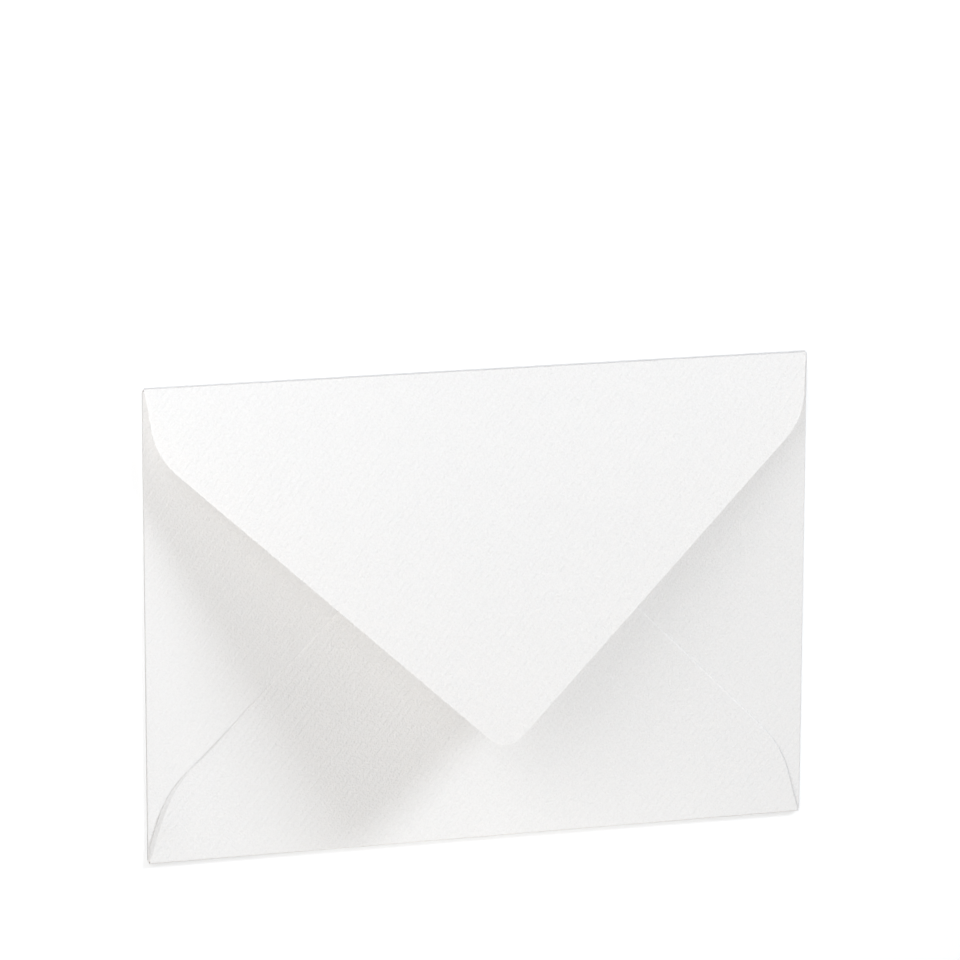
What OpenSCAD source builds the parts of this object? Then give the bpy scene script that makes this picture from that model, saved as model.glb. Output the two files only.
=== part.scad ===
// Paper envelope, folded and glued from one sheet, with its pointed seal flap standing half open.
// It lies on its front panel: X runs along the width, Y towards the top fold, and Z up.
// The origin is on the surface below it, at the middle of the body.

/* [Body] */
// Width of the body, between the two side folds
body_w = 162; // [134:1:220]
// Height of the body, from the bottom fold to the top fold
body_h = 114; // [104:1:150]
// Thickness of the paper
paper_t = 0.16; // [0.1:0.02:0.3]
// Height of the empty pocket, from the front panel to the side flaps
pocket_gap = 0.3; // [0.2:0.05:1]

/* [Seal flap] */
// Angle at which the flap stands open above the body, in degrees
seal_angle = 14.85; // [4:0.05:60]
// Distance from the fold to the sharp point that the tip is rounded from
seal_point = 89.4; // [60:0.1:100]
// Radius of the rounded tip
seal_tip_r = 6; // [1:0.5:20]
// How far each end of the fold stops short of the body's corner
seal_inset = 0.4; // [0.2:0.1:3]
// Distance from the fold to the shoulder, where the side turns into the sloping edge
seal_shoulder_y = 15.6; // [10:0.1:20]
// How far the flap has narrowed on each side at the shoulder
seal_shoulder_x = 2; // [0.5:0.1:6]
// Radius of the rounded shoulder
seal_shoulder_r = 17.5; // [2:0.5:20]
// Room that the fold leaves above the stack of flaps that it closes over
seal_ease = 0.05; // [0.02:0.01:0.4]

/* [Bottom flap] */
// Distance from the fold to the sharp point that the tip is rounded from
bottom_point = 92.6; // [80:0.1:95]
// Radius of the rounded tip
bottom_tip_r = 25; // [5:1:40]
// How far each end of the fold stops short of the body's corner
bottom_inset = 0.4; // [0.2:0.1:3]
// Distance from the fold to the shoulder
bottom_shoulder_y = 16.5; // [14:0.1:20]
// How far the flap has narrowed on each side at the shoulder
bottom_shoulder_x = 4.7; // [1:0.1:8]
// Radius of the rounded shoulder
bottom_shoulder_r = 30; // [2:0.5:34]
// Height by which the flap springs up at its fold, above where it is glued down
bottom_spring = 0.32; // [0.1:0.02:1.2]
// Distance over which the flap comes down from its fold to the glued part
bottom_spring_run = 26; // [10:1:40]

/* [Side flaps] */
// Distance from the fold to the sharp point that the tip is rounded from
side_point = 64.4; // [50:0.1:66]
// Radius of the rounded tip
side_tip_r = 10; // [3:0.5:25]
// How far each end of the fold stops short of the body's corner
side_inset = 1.2; // [1:0.1:4]
// Distance from the fold to the shoulder
side_shoulder_y = 11; // [9:0.1:14]
// How far the flap has narrowed on each side at the shoulder
side_shoulder_x = 2.4; // [0.5:0.1:6]
// Radius of the rounded shoulder
side_shoulder_r = 20; // [2:0.5:24]

/* [Hidden] */
paper_colour = [0.95, 0.95, 0.93];

// Straight steps that each fold and each rounded corner is drawn with
fold_steps = 16;
corner_steps = 24;

// Angle that a fold turns the sheet by, in degrees, when its flap lies flat on the body
flat_turn = 180;

// How far the sheet of each flap runs into the front panel, which it is one with
root = 3;

// Underside of the side flaps, underside of the bottom flap, and top of the bottom flap
side_z = paper_t + pocket_gap;
bottom_z = side_z + paper_t;
stack_top = bottom_z + paper_t;

// Outer radius of each fold, half the height from the front panel to the outside of its flap
side_fold_r = bottom_z / 2;
bottom_fold_r = (stack_top + bottom_spring) / 2;
seal_fold_r = (stack_top + seal_ease) / 2;

// Angle at which the bottom flap comes down from its fold, in degrees
bottom_fall = atan(bottom_spring / bottom_spring_run);

// The points of a list in the opposite order
function reversed(points) = [for (i = [len(points) - 1 : -1 : 0]) points[i]];

// Unit vector from point a towards point b
function toward(a, b) = (b - a) / norm(b - a);

// Arc of radius r that rounds corner p, turning left from the edge to a into the edge to b
function rounded(a, p, b, r) =
    let (
        half = acos(toward(p, a) * toward(p, b)) / 2,
        centre = p + toward([0, 0], toward(p, a) + toward(p, b)) * r / sin(half),
        first = p + toward(p, a) * r / tan(half) - centre,
        first_angle = atan2(first[1], first[0]),
        sweep = 180 - 2 * half
    )
    [
        for (step = [0:corner_steps])
            let (angle = first_angle + sweep * step / corner_steps)
            centre + r * [cos(angle), sin(angle)]
    ];

// Outline of a flap with its fold on X and its tip towards +Y. From each end of the fold a side
// narrows to a rounded shoulder, and a sloping edge leads on to the rounded tip.
function flap_outline(half_fold, shoulder_x, shoulder_y, shoulder_r, point, tip_r) =
    let (
        fold_end = [half_fold, 0],
        shoulder = [half_fold - shoulder_x, shoulder_y],
        tip = [0, point],
        far_shoulder = [-shoulder[0], shoulder[1]],
        far_end = [-half_fold, 0]
    )
    concat(
        [[half_fold, -root], fold_end],
        rounded(fold_end, shoulder, tip, shoulder_r),
        rounded(shoulder, tip, far_shoulder, tip_r),
        rounded(tip, far_shoulder, far_end, shoulder_r),
        [far_end, [-half_fold, -root]]
    );

// The sections below are drawn in Y and Z, with a fold's outermost line at the origin.
// Each fold leads from the front panel out, up and back over +Y, round a centre at [fold_r, fold_r].

// Direction from a fold's centre to the sheet, once the fold has turned by an angle
function outward(turn) = [-sin(turn), -cos(turn)];

// Where the outside of the flap begins, at the end of its fold
function flap_start(fold_r, turn) = [fold_r, fold_r] + fold_r * outward(turn);

// One face of the fold, at radius r
function fold_face(fold_r, r, turn) =
    [for (step = [0:fold_steps]) [fold_r, fold_r] + r * outward(turn * step / fold_steps)];

// The sheet from the front panel round its fold, and on through the two faces of the flap
function sheet_section(fold_r, turn, outer_face, inner_face) =
    concat(
        [[fold_r + root, 0]],
        fold_face(fold_r, fold_r, turn),
        outer_face,
        reversed(inner_face),
        reversed(fold_face(fold_r, fold_r - paper_t, turn)),
        [[fold_r + root, paper_t]]
    );

// The sheet of a flap that is straight from its fold on
function straight_section(fold_r, turn, length) =
    let (
        along = [-cos(turn), sin(turn)],
        end = flap_start(fold_r, turn) + length * along
    )
    sheet_section(fold_r, turn, [end], [end - paper_t * outward(turn)]);

// The sheet of the bottom flap: it falls from its fold, then lies flat on the side flaps
function bottom_section(turn) =
    let (
        start = flap_start(bottom_fold_r, turn),
        bend_y = start[0] + (start[1] - stack_top) / tan(bottom_fall),
        end_y = start[0] + bottom_point
    )
    sheet_section(
        bottom_fold_r, turn,
        [[bend_y, stack_top], [end_y, stack_top]],
        [[bend_y - paper_t * tan(bottom_fall / 2), bottom_z], [end_y, bottom_z]]
    );

// A folded sheet, longer along X than its flap, cut to the flap's outline. The outline starts where
// the fold ends, and is cut square to the body, or square to a flap that stands open by the angle.
module cut_flap(section, outline, start, angle) {
    cut_depth = 2 * start[1] + root;
    intersection() {
        rotate([90, 0, 90]) linear_extrude(body_w + body_h, center = true) polygon(section);
        translate([0, start[0], start[1]]) rotate([angle, 0, 0])
            linear_extrude(2 * cut_depth, center = true) polygon(outline);
    }
}

// Address side of the envelope, bounded by its four folds
module front_panel() {
    half_w = body_w / 2 - side_fold_r;
    low_y = bottom_fold_r - body_h / 2;
    high_y = body_h / 2 - seal_fold_r;
    translate([-half_w, low_y, 0]) cube([2 * half_w, high_y - low_y, paper_t]);
}

// One of the two side flaps, which lie closest to the front panel
module side_flap() {
    cut_flap(
        straight_section(side_fold_r, flat_turn, side_point),
        flap_outline(body_h / 2 - side_inset, side_shoulder_x, side_shoulder_y, side_shoulder_r,
                     side_point, side_tip_r),
        flap_start(side_fold_r, flat_turn),
        0
    );
}

// The bottom flap, glued over the side flaps, springs up a little towards its fold
module bottom_flap() {
    turn = flat_turn + bottom_fall;
    cut_flap(
        bottom_section(turn),
        flap_outline(body_w / 2 - bottom_inset, bottom_shoulder_x, bottom_shoulder_y, bottom_shoulder_r,
                     bottom_point, bottom_tip_r),
        flap_start(bottom_fold_r, turn),
        0
    );
}

// The long pointed flap at the top, which stands open
module seal_flap() {
    turn = flat_turn - seal_angle;
    cut_flap(
        straight_section(seal_fold_r, turn, seal_point),
        flap_outline(body_w / 2 - seal_inset, seal_shoulder_x, seal_shoulder_y, seal_shoulder_r,
                     seal_point, seal_tip_r),
        flap_start(seal_fold_r, turn),
        seal_angle
    );
}

// The whole sheet: each flap is turned so that its fold lies on its own edge of the body
module envelope() {
    color(paper_colour) {
        front_panel();
        for (side = [-1, 1]) {
            translate([side * body_w / 2, 0, 0]) rotate(side * 90) side_flap();
        }
        translate([0, -body_h / 2, 0]) bottom_flap();
        translate([0, body_h / 2, 0]) rotate(180) seal_flap();
    }
}

envelope();
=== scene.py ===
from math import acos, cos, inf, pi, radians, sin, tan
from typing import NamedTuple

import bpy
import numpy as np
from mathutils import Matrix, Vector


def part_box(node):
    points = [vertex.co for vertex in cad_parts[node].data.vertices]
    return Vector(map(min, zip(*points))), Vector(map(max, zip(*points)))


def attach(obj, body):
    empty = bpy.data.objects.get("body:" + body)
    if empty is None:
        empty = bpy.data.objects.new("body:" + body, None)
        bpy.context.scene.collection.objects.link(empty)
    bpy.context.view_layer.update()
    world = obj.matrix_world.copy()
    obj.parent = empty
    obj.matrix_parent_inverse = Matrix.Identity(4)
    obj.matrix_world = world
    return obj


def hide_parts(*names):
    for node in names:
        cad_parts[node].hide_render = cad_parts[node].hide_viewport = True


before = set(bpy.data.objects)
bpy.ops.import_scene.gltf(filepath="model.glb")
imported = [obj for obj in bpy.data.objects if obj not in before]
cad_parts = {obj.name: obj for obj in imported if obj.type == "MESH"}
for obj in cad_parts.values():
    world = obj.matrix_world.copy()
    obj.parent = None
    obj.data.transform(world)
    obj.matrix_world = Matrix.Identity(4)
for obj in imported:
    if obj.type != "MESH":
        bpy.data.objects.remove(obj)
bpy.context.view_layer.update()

# A white envelope, folded from one sheet of ribbed paper, with its pointed seal flap half open.
# The sheet is worked out in millimetres, as the flat blank that it is cut from and as it lies
# folded. The blank is seen from outside the front panel, so its own P runs against the frame's X,
# and its Q along Y.

MM = 0.001
NODE = "envelope"

# The body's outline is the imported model's, and its folds end a little short of its corners
low_corner, high_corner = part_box(NODE)
BODY_W = (high_corner.x - low_corner.x) / MM
BODY_H = (high_corner.y - low_corner.y) / MM
LONG_FOLD_GAP = 0.4
SHORT_FOLD_GAP = 0.6

# Sheet and stack of layers, with a film of glue between the side flaps and the bottom flap
PAPER_T = 0.16
GLUE_T = 0.005
SIDE_TOP = 0.60
BOTTOM_TOP = SIDE_TOP + GLUE_T + PAPER_T

# Cut edge of the sheet
RIM = 0.03  # how far it bulges past the two faces that it joins
RIM_SPREAD = 0.15  # how far its two rows of points lie from its middle, as a share of its height
RIM_TURN = 0.4  # how far their normals turn towards the face beside them
ROLL = 0.04  # how far the die has pressed down the outer face there
ROLL_WIDTH = 1.1  # how far in from the cut that shows
BLUNT_ROLL = 0.12  # the same where the die was blunt, on the bottom flap's right half
BLUNT_WIDTH = 0.4
BLUNT_FROM = 20  # how far to the right of the middle it is fully blunt

# Net of the sheet, with narrower columns along its cut edges
COLUMNS = 96
SIDE_COLUMNS = 66
MARGINS = (0.15, 0.35, 0.6, 0.85, 1.1, 1.35, 1.7, 2.2)
FOLD_ROWS = 14
ARC_STEPS = 20
LONGEST_STEP = 1.8

# Cosine and sine of each number of quarter turns
QUARTER_TURNS = ((1, 0), (0, 1), (-1, 0), (0, -1))

# Photograph's camera, in metres and degrees
CAMERA_AT = (-0.33308, 0.30871, 1.14623)
CAMERA_TURN = (-13.17, -16.17, 0.17)
LENS_MM = 195.4


class Flap(NamedTuple):
    """One flap. In its own frame its fold lies along X, and it reaches over the body along Y."""
    quarter_turns: int  # from its own frame to its edge of the body
    reach: float  # from the body's middle to the outermost line of its fold
    half_fold: float
    shoulder_x: float
    shoulder_y: float
    shoulder_r: float
    point: float
    tip_r: float
    fold_r: float
    bends: tuple  # length and degrees of each bend of its section, from the front panel on
    crest_shade: float  # how much painted shade darkens the sheet at its fold's crest
    glued: float = 0.0  # how much the press has flattened the grain
    skew: float = 0.0  # how far its tip is cut off centre
    fuller: float = 0.0  # how much further out its left shoulder reaches than its right one
    seep: float = 0.0  # how wide a margin along its edge gets painted shade
    lifts: tuple = ()  # the stretches along its edge that stand off the sheet below


class Lift(NamedTuple):
    """A stretch along a flap's edge that stands off the sheet below, on one side of the flap."""
    side: int
    height: float
    start: float  # along the flap, from its fold
    top: float
    end: float
    inward: float  # how far in the flap bends up
    ridge: float = 0.0  # how far in it is highest, where its edge itself is held down


def bottom_flap():
    spring = 0.32
    spring_run = 26.0
    fold_r = (BOTTOM_TOP + spring) / 2
    ease = np.degrees(2 * spring / spring_run)
    return Flap(
        quarter_turns=0, reach=BODY_H / 2, half_fold=BODY_W / 2 - LONG_FOLD_GAP,
        shoulder_x=4.7, shoulder_y=16.5, shoulder_r=30.0, point=92.6, tip_r=25.0, fold_r=fold_r,
        bends=((fold_r * radians(180 + ease), 180 + ease), (spring_run, -ease)),
        # The bottom flap gets painted shade at its fold's crest and in a margin along its edges
        crest_shade=0.16, glued=1.0, skew=0.3, fuller=1.0, seep=0.3,
        lifts=(
            Lift(side=-1, height=0.6, start=-0.5, top=10.0, end=26.0, inward=7.0, ridge=1.25),
            Lift(side=1, height=0.12, start=0.0, top=11.0, end=22.0, inward=12.0),
            Lift(side=-1, height=0.14, start=14.0, top=27.0, end=50.0, inward=3.0),
        ),
    )


def side_flap(quarter_turns, crest_shade, glued):
    fold_r = SIDE_TOP / 2
    return Flap(
        quarter_turns=quarter_turns, reach=BODY_W / 2, half_fold=BODY_H / 2 - SHORT_FOLD_GAP,
        shoulder_x=3.0, shoulder_y=11.0, shoulder_r=20.0, point=64.4, tip_r=10.0, fold_r=fold_r,
        # painted shade at the fold's crest, as the caller gives it
        bends=((fold_r * pi, 180),), crest_shade=crest_shade, glued=glued,
    )


def seal_flap():
    angle = 14.76
    bow = 1.6
    point = 89.65
    ease = 0.05
    fold_r = (BOTTOM_TOP + ease) / 2
    turn = 180 - angle - bow / 2
    return Flap(
        quarter_turns=2, reach=BODY_H / 2, half_fold=BODY_W / 2 - LONG_FOLD_GAP,
        shoulder_x=1.8, shoulder_y=15.6, shoulder_r=17.5, point=point, tip_r=5.6, fold_r=fold_r,
        # painted shade at the fold's crest
        bends=((fold_r * radians(turn), turn), (point, bow)), crest_shade=0.11,
    )


def unit(v):
    return v / np.linalg.norm(v)


def unit_rows(v):
    return v / np.linalg.norm(v, axis=-1, keepdims=True)


def rounded(before, corner, after, radius):
    """Points of the arc that rounds a corner."""
    to_before, to_after = unit(before - corner), unit(after - corner)
    half = acos(np.dot(to_before, to_after)) / 2
    centre = corner + unit(to_before + to_after) * radius / sin(half)
    first = corner + to_before * radius / tan(half) - centre
    last = corner + to_after * radius / tan(half) - centre
    sweep = pi - 2 * half
    return [
        centre + (sin((1 - t) * sweep) * first + sin(t * sweep) * last) / sin(sweep)
        for t in np.linspace(0, 1, ARC_STEPS + 1)
    ]


def stepped(points, longest):
    """The same line, with its long stretches cut into even steps."""
    line = [points[0]]
    for a, b in zip(points, points[1:]):
        steps = max(1, round(np.linalg.norm(b - a) / longest))
        line += [a + (b - a) * k / steps for k in range(1, steps + 1)]
    return np.array(line)


def half_outline(flap):
    """Half width and distance from the fold, along one side of a flap to its tip."""
    fold_end = np.array([flap.half_fold, 0.0])
    shoulder = np.array([flap.half_fold - flap.shoulder_x, flap.shoulder_y])
    tip = np.array([0.0, flap.point])
    shoulder_arc = rounded(fold_end, shoulder, tip, flap.shoulder_r)
    tip_arc = rounded(shoulder, tip, shoulder * (-1, 1), flap.tip_r)[:ARC_STEPS // 2 + 1]
    line = stepped([fold_end, *shoulder_arc, *tip_arc], LONGEST_STEP)
    along = np.gradient(line, axis=0)
    inward = np.stack([-along[:, 1], along[:, 0]], 1) / np.hypot(*along.T)[:, None]
    return line + RIM * inward


def section(flap, s):
    """Y, Z and turned angle of a flap's outer face, at distances s from the start of its fold."""
    y, z, angle = np.full_like(s, flap.fold_r), np.zeros_like(s), np.zeros_like(s)
    start, turned_by = 0.0, 0.0
    for length, degrees in (*flap.bends, (inf, 0.0)):
        done = np.clip(s - start, 0 if start else -inf, length)
        if degrees:
            rate = radians(degrees) / length
            y -= (np.sin(turned_by + rate * done) - sin(turned_by)) / rate
            z -= (np.cos(turned_by + rate * done) - cos(turned_by)) / rate
        else:
            y -= cos(turned_by) * done
            z += sin(turned_by) * done
        angle += radians(degrees) * done / length
        start += length
        turned_by += radians(degrees)
    return y, z, angle


def smooth(x, start, end):
    t = np.clip((x - start) / (end - start), 0, 1)
    return t * t * (3 - 2 * t)


def lift_height(lift, x, v, outline):
    """How far a lifted stretch raises the sheet. A ridge comes closer to the edge at either end."""
    along = smooth(v, lift.start, lift.top) * (1 - smooth(v, lift.top, lift.end))
    from_edge = np.interp(v, outline[:, 1], outline[:, 0]) - lift.side * x
    ridge = lift.ridge * along * (2 - along)
    fall = (1 - np.clip((from_edge - ridge) / lift.inward, 0, 1)) ** 2
    if lift.ridge:
        # The lower of the two slopes, with a rounded top where they meet. The bounds of the first
        # one only keep its exponential small.
        sharpness = 14
        climb = np.clip(from_edge / np.maximum(ridge, 1e-3), -1, 4)
        fall = -np.log(np.exp(-sharpness * climb) + np.exp(-sharpness * fall)) / sharpness
    return lift.height * along * fall


def sideways(flap, x, v, outline):
    """How far a flap is shifted along its fold, by its tip's place and its fuller shoulder."""
    skewed_by, full_by, full_to, plain_by = 20, 4, 15, 28  # along the flap, from its fold
    whole_to, none_by = 2.5, 14  # in from the left edge
    from_edge = np.interp(v, outline[:, 1], outline[:, 0]) + x
    at_shoulder = smooth(v, 0, full_by) * (1 - smooth(v, full_to, plain_by))
    at_edge = 1 - smooth(from_edge, whole_to, none_by)
    return flap.skew * smooth(v, 0, skewed_by) - flap.fuller * at_shoulder * at_edge


def shaded_margin_width(flap, x, v):
    """Width of the margin along a flap's edge that gets painted shade. It is below nought where
    there is none.
    """
    wide_by, wide_to, narrow_by = 4, 13, 23  # along the flap, from its fold
    left_fades, right_fades = (29, 38), (8, 24)
    wider, right_share = 2.2, 0.6
    at_shoulder = smooth(v, 0, wide_by) * (1 - smooth(v, wide_to, narrow_by))
    left = flap.seep * (1 + wider * at_shoulder) - smooth(v, *left_fades)
    right = right_share * flap.seep - smooth(v, *right_fades)
    on_fold = smooth(-v, -2, 1.5)
    return np.where(flap.seep > 0, np.where(x < 0, left, right) - on_fold, -1.0)


def in_frame(flap, x, y):
    """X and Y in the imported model's frame of places in a flap's own frame."""
    y = y - flap.reach
    cosine, sine = QUARTER_TURNS[flap.quarter_turns]
    return cosine * x - sine * y, sine * x + cosine * y


def folded(flap, x, s, outline):
    """Places on a flap's outer face, from its own X and the distance s from its fold's start."""
    y, z, angle = section(flap, s)
    v = s - flap.bends[0][0]
    height = sum(lift_height(lift, x, v, outline) for lift in flap.lifts)
    x = x + sideways(flap, x, v, outline)
    y = y - np.sin(angle) * height
    z = z - np.cos(angle) * height
    return np.stack([*in_frame(flap, x, y), z], -1)


def normals_of(surface, x, s):
    """Unit vectors along the two directions of a surface, and the one that points out of it."""
    step = 0.005
    across = surface(x + step, s) - surface(x - step, s)
    along = surface(x, s + step) - surface(x, s - step)
    return tuple(unit_rows(way) for way in (across, along, np.cross(across, along)))


class Net(NamedTuple):
    """Points of the sheet's outer face."""
    place: np.ndarray  # where it lies folded
    blank: np.ndarray  # P and Q on the flat blank
    out: np.ndarray  # unit vectors out of the face, and along P and Q as the sheet lies folded
    p_way: np.ndarray
    q_way: np.ndarray
    crest: np.ndarray  # distance from the crest of a fold
    seep: np.ndarray  # width of the margin that gets painted shade
    part: np.ndarray  # 0 on the front panel, and the flap's number on a flap


# The ones that are places or directions
VECTORS = ("place", "blank", "out", "p_way", "q_way")


class Sheet:
    """The outer face of the whole sheet as one net of points and faces, flat and folded."""

    def __init__(self):
        self.nets = []
        self.faces = []

    def add(self, **values):
        """Adds points, and returns their numbers in the shape that they came in."""
        shape = values["place"].shape[:-1]
        count = int(np.prod(shape))
        first = sum(len(net.place) for net in self.nets)
        rows = {}
        for name, value in values.items():
            each = np.shape(value)[-1:] if name in VECTORS else ()
            rows[name] = np.broadcast_to(value, shape + each).reshape(count, *each)
        self.nets.append(Net(**rows))
        return first + np.arange(count).reshape(shape)

    def net(self):
        """All points so far, as one net."""
        return Net(*(np.concatenate(column) for column in zip(*self.nets)))

    def mesh_strip(self, numbers):
        """Faces between neighbouring rows of points, where a row may close to one point."""
        for near, far in zip(numbers, numbers[1:]):
            for k in range(len(near) - 1):
                if len(far) == 1:
                    self.faces.append((near[k], near[k + 1], far[0]))
                else:
                    self.faces.append((near[k], near[k + 1], far[k + 1], far[k]))


def shares(columns, half):
    """Places of the net's columns across a width, from -1 to 1."""
    margin = 1 - np.array([0, *MARGINS]) / half
    inner = np.linspace(-margin[-1], margin[-1], columns - 2 * len(MARGINS) + 1)
    return np.concatenate([-margin, inner[1:-1], margin[::-1]])


def front_panel(sheet, flaps):
    """The address side, whose rows and columns meet those of the four folds."""
    bottom, right, seal = flaps[:3]
    half_w = BODY_W / 2 - right.fold_r
    low_y, high_y = bottom.fold_r - BODY_H / 2, BODY_H / 2 - seal.fold_r
    across = shares(COLUMNS, bottom.half_fold) * (bottom.half_fold - RIM)
    up = shares(SIDE_COLUMNS, right.half_fold) * (right.half_fold - RIM)
    x, y = np.meshgrid([-half_w, *across, half_w], [low_y, *up, high_y])
    place = np.stack([x, y, np.zeros_like(x)], -1)
    to_crest = 0.5  # about the distance from a fold's start to its crest
    crest = np.minimum(np.minimum(y - low_y, high_y - y), half_w - abs(x)) + to_crest
    numbers = sheet.add(
        place=place, blank=np.stack([-x, y], -1), out=(0, 0, -1),
        p_way=(-1, 0, 0), q_way=(0, 1, 0), crest=crest, seep=-1.0, part=0,
    )
    for j in range(len(numbers) - 1):
        for k in range(len(numbers[0]) - 1):
            sheet.faces.append(
                (numbers[j, k], numbers[j + 1, k], numbers[j + 1, k + 1], numbers[j, k + 1])
            )
    return numbers


def fold_start(panel, quarter_turns):
    """The front panel's points that a flap starts from, in the order of the flap's own X."""
    return (panel[0, 1:-1], panel[1:-1, -1], panel[-1, -2:0:-1], panel[-2:0:-1, 0])[quarter_turns]


def add_flap(sheet, flap, panel, part):
    """A flap's points and faces, from the end of the front panel to its tip."""
    outline = half_outline(flap)
    fold_length = flap.bends[0][0]
    first = fold_start(panel, flap.quarter_turns)
    fold_s = np.linspace(0, fold_length, FOLD_ROWS + 1)[1:]
    s = np.concatenate([fold_s, fold_length + outline[1:, 1]])
    half = np.concatenate([np.full(FOLD_ROWS, flap.half_fold - RIM), outline[1:, 0]])
    share = shares(len(first) - 1, flap.half_fold)

    def surface(x, s):
        return folded(flap, x, s, outline)

    def added(x, s):
        across, along, out = normals_of(surface, x, s)
        cosine, sine = QUARTER_TURNS[flap.quarter_turns]
        v = s - fold_length
        shifted = x + sideways(flap, x, v, outline)
        blank_x, blank_y = in_frame(flap, shifted, flap.fold_r - s)
        # On the blank, P runs against the frame's X
        return sheet.add(
            place=surface(x, s), blank=np.stack([-blank_x, blank_y], -1), out=out,
            p_way=-cosine * across - sine * along, q_way=sine * across - cosine * along,
            crest=abs(s - fold_length / 2), seep=shaded_margin_width(flap, x, v), part=part,
        )

    x = half[:-1, None] * share[None, :]
    rows = added(x, np.broadcast_to(s[:-1, None], x.shape))
    tip = added(np.zeros(1), s[-1:])
    sheet.mesh_strip([first, *rows, tip])


def boundary(faces):
    """The net's outer line as point numbers, in the order that its faces turn in."""
    edges = {(a, b) for face in faces for a, b in zip(face, (*face[1:], face[0]))}
    after = {a: b for a, b in edges if (b, a) not in edges}
    loop = [min(after)]
    while after[loop[-1]] != loop[0]:
        loop.append(after[loop[-1]])
    return np.array(loop)


def from_line(points, line):
    """How far each point lies from a closed line, and the unit vector from the line to it."""
    away, nearest = np.zeros_like(points), np.full(len(points), inf)
    for a, b in zip(line, np.roll(line, -1, 0)):
        t = np.clip(((points - a) @ (b - a)) / ((b - a) @ (b - a)), 0, 1)
        gap = points - a - t[:, None] * (b - a)
        far = np.hypot(*gap.T)
        away = np.where((far < nearest)[:, None], gap, away)
        nearest = np.minimum(nearest, far)
    return nearest, away / np.maximum(nearest, 1e-9)[:, None]


def outward_ways(line):
    """Unit vectors out of the blank, at each point of its outer line."""
    ahead = np.roll(line, -1, 0) - np.roll(line, 1, 0)
    return np.stack([ahead[:, 1], -ahead[:, 0]], 1) / np.hypot(*ahead.T)[:, None]


def pressed(net, edge, inward):
    """The outer face as the die has left it at its cut edge: its places, normals and depths."""
    blunt = np.where(net.part == 1, smooth(net.place[:, 0], 0, BLUNT_FROM), 0)[:, None]
    roll = ROLL + (BLUNT_ROLL - ROLL) * blunt
    width = ROLL_WIDTH + (BLUNT_WIDTH - ROLL_WIDTH) * blunt
    left = np.clip(1 - edge[:, None] / width, 0, 1)
    slope = 2 * roll / width * left
    normals = unit_rows(net.out - slope * (inward[:, :1] * net.p_way + inward[:, 1:] * net.q_way))
    return net.place - roll * left ** 2 * net.out, normals, roll


def cut_edge(net, loop, outward, roll):
    """The two rows of points round the cut edge that make it bulge, and their normals."""
    rim_way = outward[:, :1] * net.p_way[loop] + outward[:, 1:] * net.q_way[loop]
    middle = 0.5 * (roll[loop] + PAPER_T)
    apart = RIM_SPREAD * (PAPER_T - roll[loop])
    bulged, out = net.place[loop] + RIM * rim_way, net.out[loop]
    places = [bulged - (middle + side * apart) * out for side in (-1, 1)]
    normals = [unit_rows(rim_way - side * RIM_TURN * out) for side in (-1, 1)]
    return places, normals


def edge_highlight_share(net):
    """How much extra painted highlight the bottom flap's cut edge gets, more on its right half than
    on its left.
    """
    right_rises, left_rises, left_share = (-46, -30), (-20, -8), 0.6  # along the frame's Y
    across, up = net.place[:, 0], net.place[:, 1]
    right = smooth(across, 0, BLUNT_FROM) * smooth(up, *right_rises)
    left = left_share * smooth(up, *left_rises)
    return np.where(net.part == 1, np.maximum(right, left), 0)


def closed_faces(faces, loop, count):
    """Faces of the outer face, the inner face that follows it, and the cut edge between them."""
    ring = len(loop)
    closed = faces + [tuple(n + count for n in face[::-1]) for face in faces]
    rings = [loop, 2 * count + np.arange(ring), 2 * count + ring + np.arange(ring), count + loop]
    for near, far in zip(rings, rings[1:]):
        for a, b, c, d in zip(near, np.roll(near, -1), np.roll(far, -1), far):
            closed.append((b, a, d, c))
    return closed


def sheet_values(net, flaps, edge, ring, spread):
    """What the paper's look depends on, at each point of both faces and of the cut edge's rows."""
    count = len(net.place)
    from_edge = edge[spread]
    from_edge[2 * count:] = 0
    crest_shade = np.array([0.0, *(flap.crest_shade for flap in flaps)])[net.part]
    glued = np.array([0.0, *(flap.glued for flap in flaps)])[net.part]
    return {
        "edge_mm": from_edge,
        "crest_mm": net.crest[spread],
        # painted shade in a margin along the bottom flap's edges
        "shaded_margin_mm": net.seep[spread],
        # painted shade at the fold crests
        "crest_shade": crest_shade[spread],
        "glued": glued[spread],
        # painted highlight along the bottom flap's cut edge
        "painted_edge_highlight": edge_highlight_share(net)[spread],
        "part": net.part[spread],
        "inside": np.repeat([0, 1, 0.25, 0.75], [count, count, ring, ring]),
        "cut": np.repeat([0.0, 1.0], [2 * count, 2 * ring]),
    }


def build_envelope():
    """One closed mesh: the outer face, the inner face, and the cut edge round between them."""
    flaps = (
        bottom_flap(),
        # painted shade at each side fold's crest: little on the right fold, much on the left one
        side_flap(1, crest_shade=0.03, glued=1.0),
        seal_flap(),
        side_flap(3, crest_shade=0.25, glued=3.3),
    )
    sheet = Sheet()
    panel = front_panel(sheet, flaps)
    for number, flap in enumerate(flaps, 1):
        add_flap(sheet, flap, panel, number)
    net = sheet.net()
    loop = boundary(sheet.faces)
    outward = outward_ways(net.blank[loop])
    edge, inward = from_line(net.blank, net.blank[loop])
    inward[loop] = -outward
    outer, outer_normals, roll = pressed(net, edge, inward)
    rims, rim_normals = cut_edge(net, loop, outward, roll)

    count = len(net.place)
    spread = np.concatenate([np.arange(count), np.arange(count), loop, loop])
    blank = net.blank[spread]
    blank[2 * count:] += 2 * RIM * np.concatenate([outward, outward])
    points = np.concatenate([outer, net.place - PAPER_T * net.out, *rims])
    normals = np.concatenate([outer_normals, -net.out, *rim_normals])
    faces = closed_faces(sheet.faces, loop, count)
    values = sheet_values(net, flaps, edge, len(loop), spread)
    return mesh_object("folded_sheet", points * MM, faces, normals, blank, values)


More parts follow.
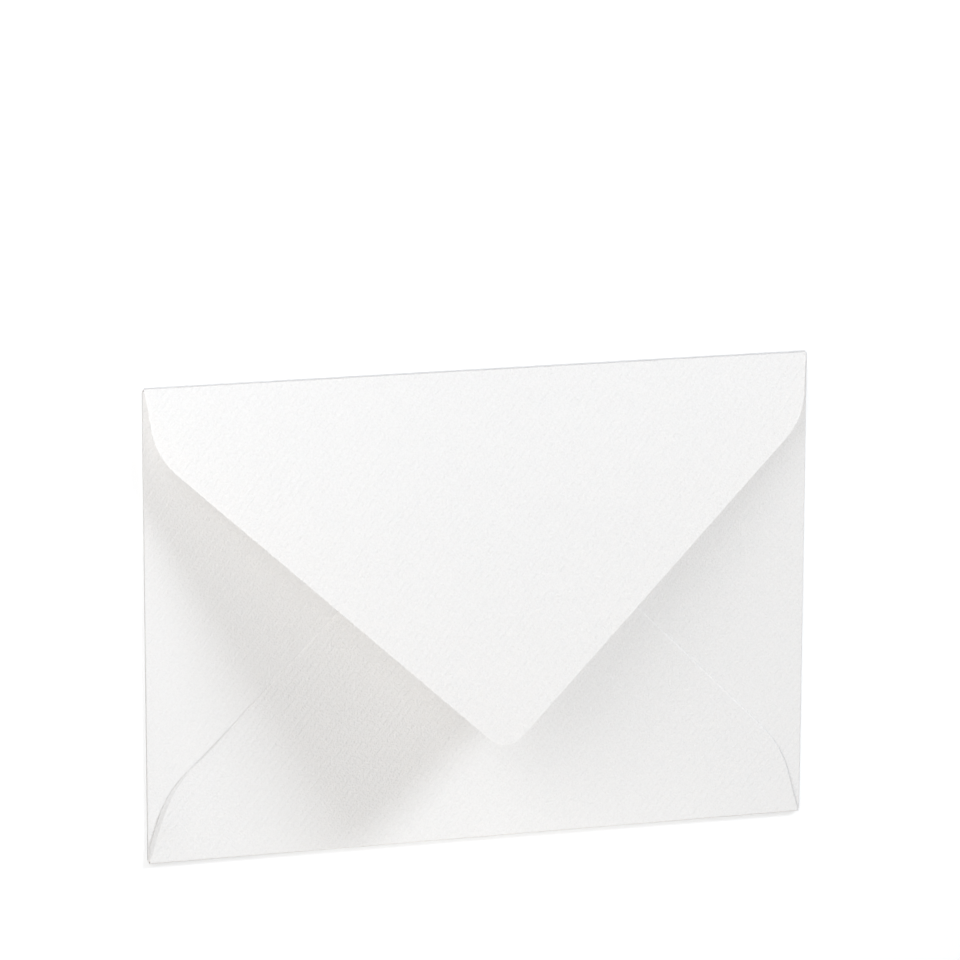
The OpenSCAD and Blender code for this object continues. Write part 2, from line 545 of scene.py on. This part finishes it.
def mesh_object(name, points, faces, normals, blank, values):
    mesh = bpy.data.meshes.new(name)
    mesh.from_pydata(points.tolist(), [], [tuple(int(n) for n in face) for face in faces])
    mesh.polygons.foreach_set("use_smooth", [True] * len(mesh.polygons))
    uv = mesh.uv_layers.new(name="blank_mm")
    corner = np.empty(len(mesh.loops), np.int32)
    mesh.loops.foreach_get("vertex_index", corner)
    uv.data.foreach_set("uv", blank[corner].astype(np.float32).ravel())
    for key, value in values.items():
        column = mesh.attributes.new(key, "FLOAT", "POINT")
        column.data.foreach_set("value", value.astype(np.float32))
    mesh.normals_split_custom_set_from_vertices(normals.tolist())
    piece = bpy.data.objects.new(name, mesh)
    bpy.context.scene.collection.objects.link(piece)
    return piece


class Nodes:
    """Short ways to make the nodes of one material."""

    def __init__(self, material):
        self.tree = material.node_tree
        self.tree.nodes.clear()

    def node(self, kind, settings=None, **inputs):
        made = self.tree.nodes.new(kind)
        for name, value in (settings or {}).items():
            setattr(made, name, value)
        for name, value in inputs.items():
            self.feed(made.inputs[name.replace("_", " ")], value)
        return made

    def feed(self, socket, value):
        if isinstance(value, bpy.types.NodeSocket):
            self.tree.links.new(value, socket)
        else:
            socket.default_value = value

    def maths(self, operation, *values):
        made = self.tree.nodes.new("ShaderNodeMath")
        made.operation = operation
        for socket, value in zip(made.inputs, values):
            self.feed(socket, value)
        return made.outputs[0]

    def value(self, attribute):
        return self.node("ShaderNodeAttribute", {"attribute_name": attribute}).outputs["Fac"]

    def band(self, value, start, end, low=0.0, high=1.0):
        """A smooth step from low at start to high at end."""
        made = self.node(
            "ShaderNodeMapRange", {"interpolation_type": "SMOOTHSTEP"},
            From_Min=start, From_Max=end, To_Min=low, To_Max=high,
        )
        self.feed(made.inputs["Value"], value)
        return made.outputs["Result"]

    def fading(self, value, start, end):
        """A smooth step from 1 at start down to 0 at end."""
        return self.band(value, start, end, low=1.0, high=0.0)

    def total(self, start, *marks):
        """A start, with each mark times its strength added to it."""
        for mark, strength in marks:
            start = self.maths("MULTIPLY_ADD", mark, strength, start)
        return start

    def noise(self, place, scale, detail):
        made = self.node("ShaderNodeTexNoise", Vector=place, Scale=scale, Detail=detail)
        return made.outputs["Fac"]

    def blend_colour(self, share, first, second):
        made = self.tree.nodes.new("ShaderNodeMix")
        made.data_type = "RGBA"
        self.feed(made.inputs["Factor"], share)
        self.feed(made.inputs[6], first)
        self.feed(made.inputs[7], second)
        return made.outputs[2]

    def blend_shaders(self, share, first, second):
        made = self.node("ShaderNodeMixShader", Fac=share)
        self.feed(made.inputs[1], first.outputs[0])
        self.feed(made.inputs[2], second.outputs[0])
        return made.outputs[0]

    def seen(self):
        """1 on rays from the camera, and on those that metal mirrors and glass lets through."""
        path = self.node("ShaderNodeLightPath").outputs
        seen = self.maths("MAXIMUM", path["Is Camera Ray"], path["Is Glossy Ray"])
        return self.maths("MAXIMUM", seen, path["Is Transmission Ray"])


def new_material(name):
    material = bpy.data.materials.new(name)
    material.use_nodes = True
    return material, Nodes(material)


RIB_SLANT = 51.5  # degrees from P
RIB_PITCH = 1.56  # mm
RIB_HEIGHT = 0.028  # mm, as the next two
GRAIN_HEIGHT = 0.145
TORN_HEIGHT = 0.06  # how much higher the grain stands where the sheet is cut or creased
PAPER_WHITE = (0.906, 0.906, 0.908)
THROUGH_PAPER = (1.0, 0.80, 0.50, 1)  # colour of the light that comes through the sheet
THROUGH_SHARE = 0.11
GUM_COLOUR = (0.86, 0.85, 0.80, 1)
GUM_SHARE = 0.5

# What sheet_values gives each point of the sheet
SHEET_VALUES = (
    "edge_mm", "crest_mm", "shaded_margin_mm", "crest_shade", "glued", "painted_edge_highlight", "part", "inside", "cut"
)


def ribs(make, blank):
    """Slanting ribs of a felt-marked sheet, from -1 to 1, which wander a little and break up."""
    wander = make.noise(blank, scale=0.25, detail=2.0)
    patches = make.noise(blank, scale=0.45, detail=2.0)
    place = make.node("ShaderNodeSeparateXYZ", Vector=blank).outputs
    across = make.maths(
        "SUBTRACT",
        make.maths("MULTIPLY", place["X"], sin(radians(RIB_SLANT))),
        make.maths("MULTIPLY", place["Y"], cos(radians(RIB_SLANT))),
    )
    phase = make.maths("MULTIPLY", make.total(across, (wander, 0.5)), 2 * pi / RIB_PITCH)
    main = make.maths("SINE", phase)
    second = make.maths("SINE", make.maths("MULTIPLY", phase, 2.0))
    both = make.total(0.0, (main, 0.7), (second, 0.25))
    return make.maths("MULTIPLY", both, make.band(patches, 0.3, 0.62, low=0.35))


def grain(make, blank):
    """Small pits, and short dents along the ribs, about as far below as above nought."""
    along = make.node(
        "ShaderNodeMapping", {"vector_type": "TEXTURE"}, Vector=blank,
        Rotation=(0, 0, radians(RIB_SLANT)), Scale=(1.8, 1.0, 1.0),
    ).outputs[0]
    pits = make.maths("SUBTRACT", make.noise(blank, scale=2.2, detail=0.5), 0.5)
    dents = make.maths("SUBTRACT", make.noise(along, scale=2.2, detail=0.6), 0.5)
    return make.total(pits, (dents, 0.6))


def gum_band(make, at, blank):
    """1 in the gummed band along both sloping edges, on the inside of the seal flap."""
    place = make.node("ShaderNodeSeparateXYZ", Vector=blank).outputs
    gum = make.band(at["inside"], 0.8, 0.95)
    for within in (
        make.band(at["part"], 2.5, 2.9),
        make.fading(at["part"], 3.1, 3.5),
        make.band(at["edge_mm"], 1.2, 1.8),
        make.fading(at["edge_mm"], 10.5, 11.3),
        make.band(place["Y"], 74.0, 76.0),
    ):
        gum = make.maths("MULTIPLY", gum, within)
    return gum


def paper_shade(make, at, blank, rib, tooth, creased):
    """How light the paper is, as a share of its own white: its grain and tone, with painted
    highlight along the cut edges, and painted shade at the fold crests and in a margin along the
    bottom flap's edges.
    """
    cloud = make.maths("SUBTRACT", make.noise(blank, scale=0.05, detail=3.0), 0.5)
    # a band along every cut edge, which gets painted highlight
    rim = make.fading(at["edge_mm"], 0.1, 0.5)
    # the margin along the bottom flap's edges, which gets painted shade
    painted_margin_shade = make.fading(make.maths("SUBTRACT", at["edge_mm"], at["shaded_margin_mm"]), -0.1, 0.1)
    return make.total(
        1.0,
        (rib, 0.009),
        (tooth, 0.12),
        (cloud, 0.012),
        # painted highlight along every cut edge, stronger on the bottom flap's
        (rim, make.total(0.025, (at["painted_edge_highlight"], 0.055))),
        # painted shade in a margin along the bottom flap's edges
        (painted_margin_shade, -0.105),
        # painted shade at the fold crests
        (creased, make.maths("MULTIPLY", at["crest_shade"], -1.0)),
    )


def paper_height(make, at, rib, tooth, creased):
    """Height of the paper's surface, in millimetres."""
    torn = make.maths("MULTIPLY", tooth, make.maths("MAXIMUM", at["cut"], creased))
    return make.total(0.0, (rib, RIB_HEIGHT), (tooth, GRAIN_HEIGHT), (torn, TORN_HEIGHT))


def paper():
    """Ribbed white paper, thin enough for a little light to pass, with gum inside the seal flap."""
    material, make = new_material("ribbed_paper")
    blank = make.node("ShaderNodeUVMap", {"uv_map": "blank_mm"}).outputs["UV"]
    at = {name: make.value(name) for name in SHEET_VALUES}
    rib = make.maths("MULTIPLY", ribs(make, blank), make.total(1.19, (at["glued"], -0.10)))
    tooth = make.maths("MULTIPLY", grain(make, blank), make.total(0.86, (at["glued"], -0.06)))
    creased = make.fading(at["crest_mm"], 0.1, 0.5)
    gum = gum_band(make, at, blank)

    white = make.node("ShaderNodeVectorMath", {"operation": "SCALE"})
    make.feed(white.inputs[0], PAPER_WHITE)
    make.feed(white.inputs["Scale"], paper_shade(make, at, blank, rib, tooth, creased))
    gummed = make.maths("MULTIPLY", gum, GUM_SHARE)
    colour = make.blend_colour(gummed, white.outputs[0], GUM_COLOUR)
    roughness = make.total(0.82, (tooth, 0.2), (gum, -0.42))
    height = paper_height(make, at, rib, tooth, creased)
    bump = make.node("ShaderNodeBump", Strength=1.0, Distance=MM, Height=height).outputs["Normal"]

    face = make.node(
        "ShaderNodeBsdfPrincipled", Base_Color=colour, Roughness=roughness, Normal=bump, IOR=1.4
    )
    face.inputs["Specular IOR Level"].default_value = 0.35
    through = make.node("ShaderNodeBsdfTranslucent", Color=THROUGH_PAPER, Normal=bump)
    make.node("ShaderNodeOutputMaterial", Surface=make.blend_shaders(THROUGH_SHARE, face, through))
    return material


FLOOR_GREY = (0.5, 0.5, 0.5, 1)  # what the floor casts back on the envelope
FLOOR_GLOW = 0.045


def floor_white():
    """A pale floor that the camera sees as white, darker only where the envelope shades it."""
    material, make = new_material("studio_floor")
    lit = make.node("ShaderNodeBsdfDiffuse", Color=FLOOR_GREY)
    shaded = make.node("ShaderNodeBsdfDiffuse", Color=(1, 1, 1, 1))
    glow = make.node("ShaderNodeEmission", Color=(1, 1, 1, 1), Strength=FLOOR_GLOW)
    white = make.node("ShaderNodeAddShader")
    make.feed(white.inputs[0], shaded.outputs[0])
    make.feed(white.inputs[1], glow.outputs[0])
    make.node("ShaderNodeOutputMaterial", Surface=make.blend_shaders(make.seen(), lit, white))
    return material


def make_floor():
    half, height = 4.0, -0.00002
    corners = ((-half, -half), (half, -half), (half, half), (-half, half))
    mesh = bpy.data.meshes.new("studio_floor")
    mesh.from_pydata([(x, y, height) for x, y in corners], [], [(0, 1, 2, 3)])
    floor = bpy.data.objects.new("studio_floor", mesh)
    floor.data.materials.append(floor_white())
    bpy.context.scene.collection.objects.link(floor)


def make_camera():
    camera = bpy.data.objects.new("camera", bpy.data.cameras.new("camera"))
    camera.location = CAMERA_AT
    camera.rotation_euler = [radians(a) for a in CAMERA_TURN]
    camera.data.sensor_width = 36.0
    camera.data.lens = LENS_MM
    camera.data.clip_start, camera.data.clip_end = 0.01, 50.0
    bpy.context.scene.collection.objects.link(camera)
    bpy.context.scene.camera = camera


def toward(azimuth, elevation):
    a, e = radians(azimuth), radians(elevation)
    return Vector((cos(a) * cos(e), sin(a) * cos(e), sin(e)))


def far_lamp(name, azimuth, elevation, width, strength, colour=(1, 1, 1)):
    """A soft far lamp, as wide as an angle. At strength 1 it alone shows white paper as white."""
    lamp = bpy.data.lights.new(name, "SUN")
    lamp.energy = strength * pi
    lamp.angle = radians(width)
    lamp.color = colour
    made = bpy.data.objects.new(name, lamp)
    made.rotation_euler = toward(azimuth, elevation).to_track_quat("Z", "Y").to_euler()
    bpy.context.scene.collection.objects.link(made)


def near_lamp(name, place, width, watts, colour=(1, 1, 1)):
    """A round soft lamp that stands close and faces the middle of the envelope."""
    lamp = bpy.data.lights.new(name, "AREA")
    lamp.shape = "DISK"
    lamp.size = width
    lamp.energy = watts
    lamp.color = colour
    made = bpy.data.objects.new(name, lamp)
    made.location = place
    made.rotation_euler = Vector(place).to_track_quat("Z", "Y").to_euler()
    bpy.context.scene.collection.objects.link(made)


SOFT_LIGHT = 0.09  # from all round


def make_lights():
    world = bpy.data.worlds.new("studio")
    bpy.context.scene.world = world
    world.use_nodes = True
    make = Nodes(world)
    soft = make.node("ShaderNodeBackground", Color=(1, 1, 1, 1), Strength=SOFT_LIGHT)
    white = make.node("ShaderNodeBackground", Color=(1, 1, 1, 1), Strength=1.0)
    make.node("ShaderNodeOutputWorld", Surface=make.blend_shaders(make.seen(), soft, white))
    far_lamp(
        "key", azimuth=43, elevation=23.9, width=15, strength=0.49, colour=(0.935, 0.985, 1.045)
    )
    far_lamp("overhead", azimuth=240, elevation=60, width=36, strength=0.545)
    far_lamp("side", azimuth=150, elevation=37, width=45, strength=0.225)
    far_lamp("front", azimuth=270, elevation=15, width=32, strength=0.058)
    near_lamp("upper_left", (-0.20, 0.20, 0.25), width=0.2, watts=0.095)
    near_lamp("left", (-0.20, 0.03, 0.05), width=0.1, watts=0.029)
    near_lamp("corner", (-0.12, 0.16, 0.10), width=0.1, watts=0.033)
    near_lamp("top", (-0.05, 0.25, 0.08), width=0.15, watts=0.016)
    near_lamp("upper_right", (0.12, 0.16, 0.12), width=0.1, watts=0.037)
    near_lamp("foot", (0.0, -0.12, 0.035), width=0.1, watts=0.02, colour=(1.0, 0.97, 0.92))


def main():
    make_camera()
    make_lights()
    make_floor()
    sheet = build_envelope()
    sheet.data.materials.append(paper())
    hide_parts(NODE)
    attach(sheet, "root")
    bpy.context.scene.view_settings.view_transform = "Standard"


main()
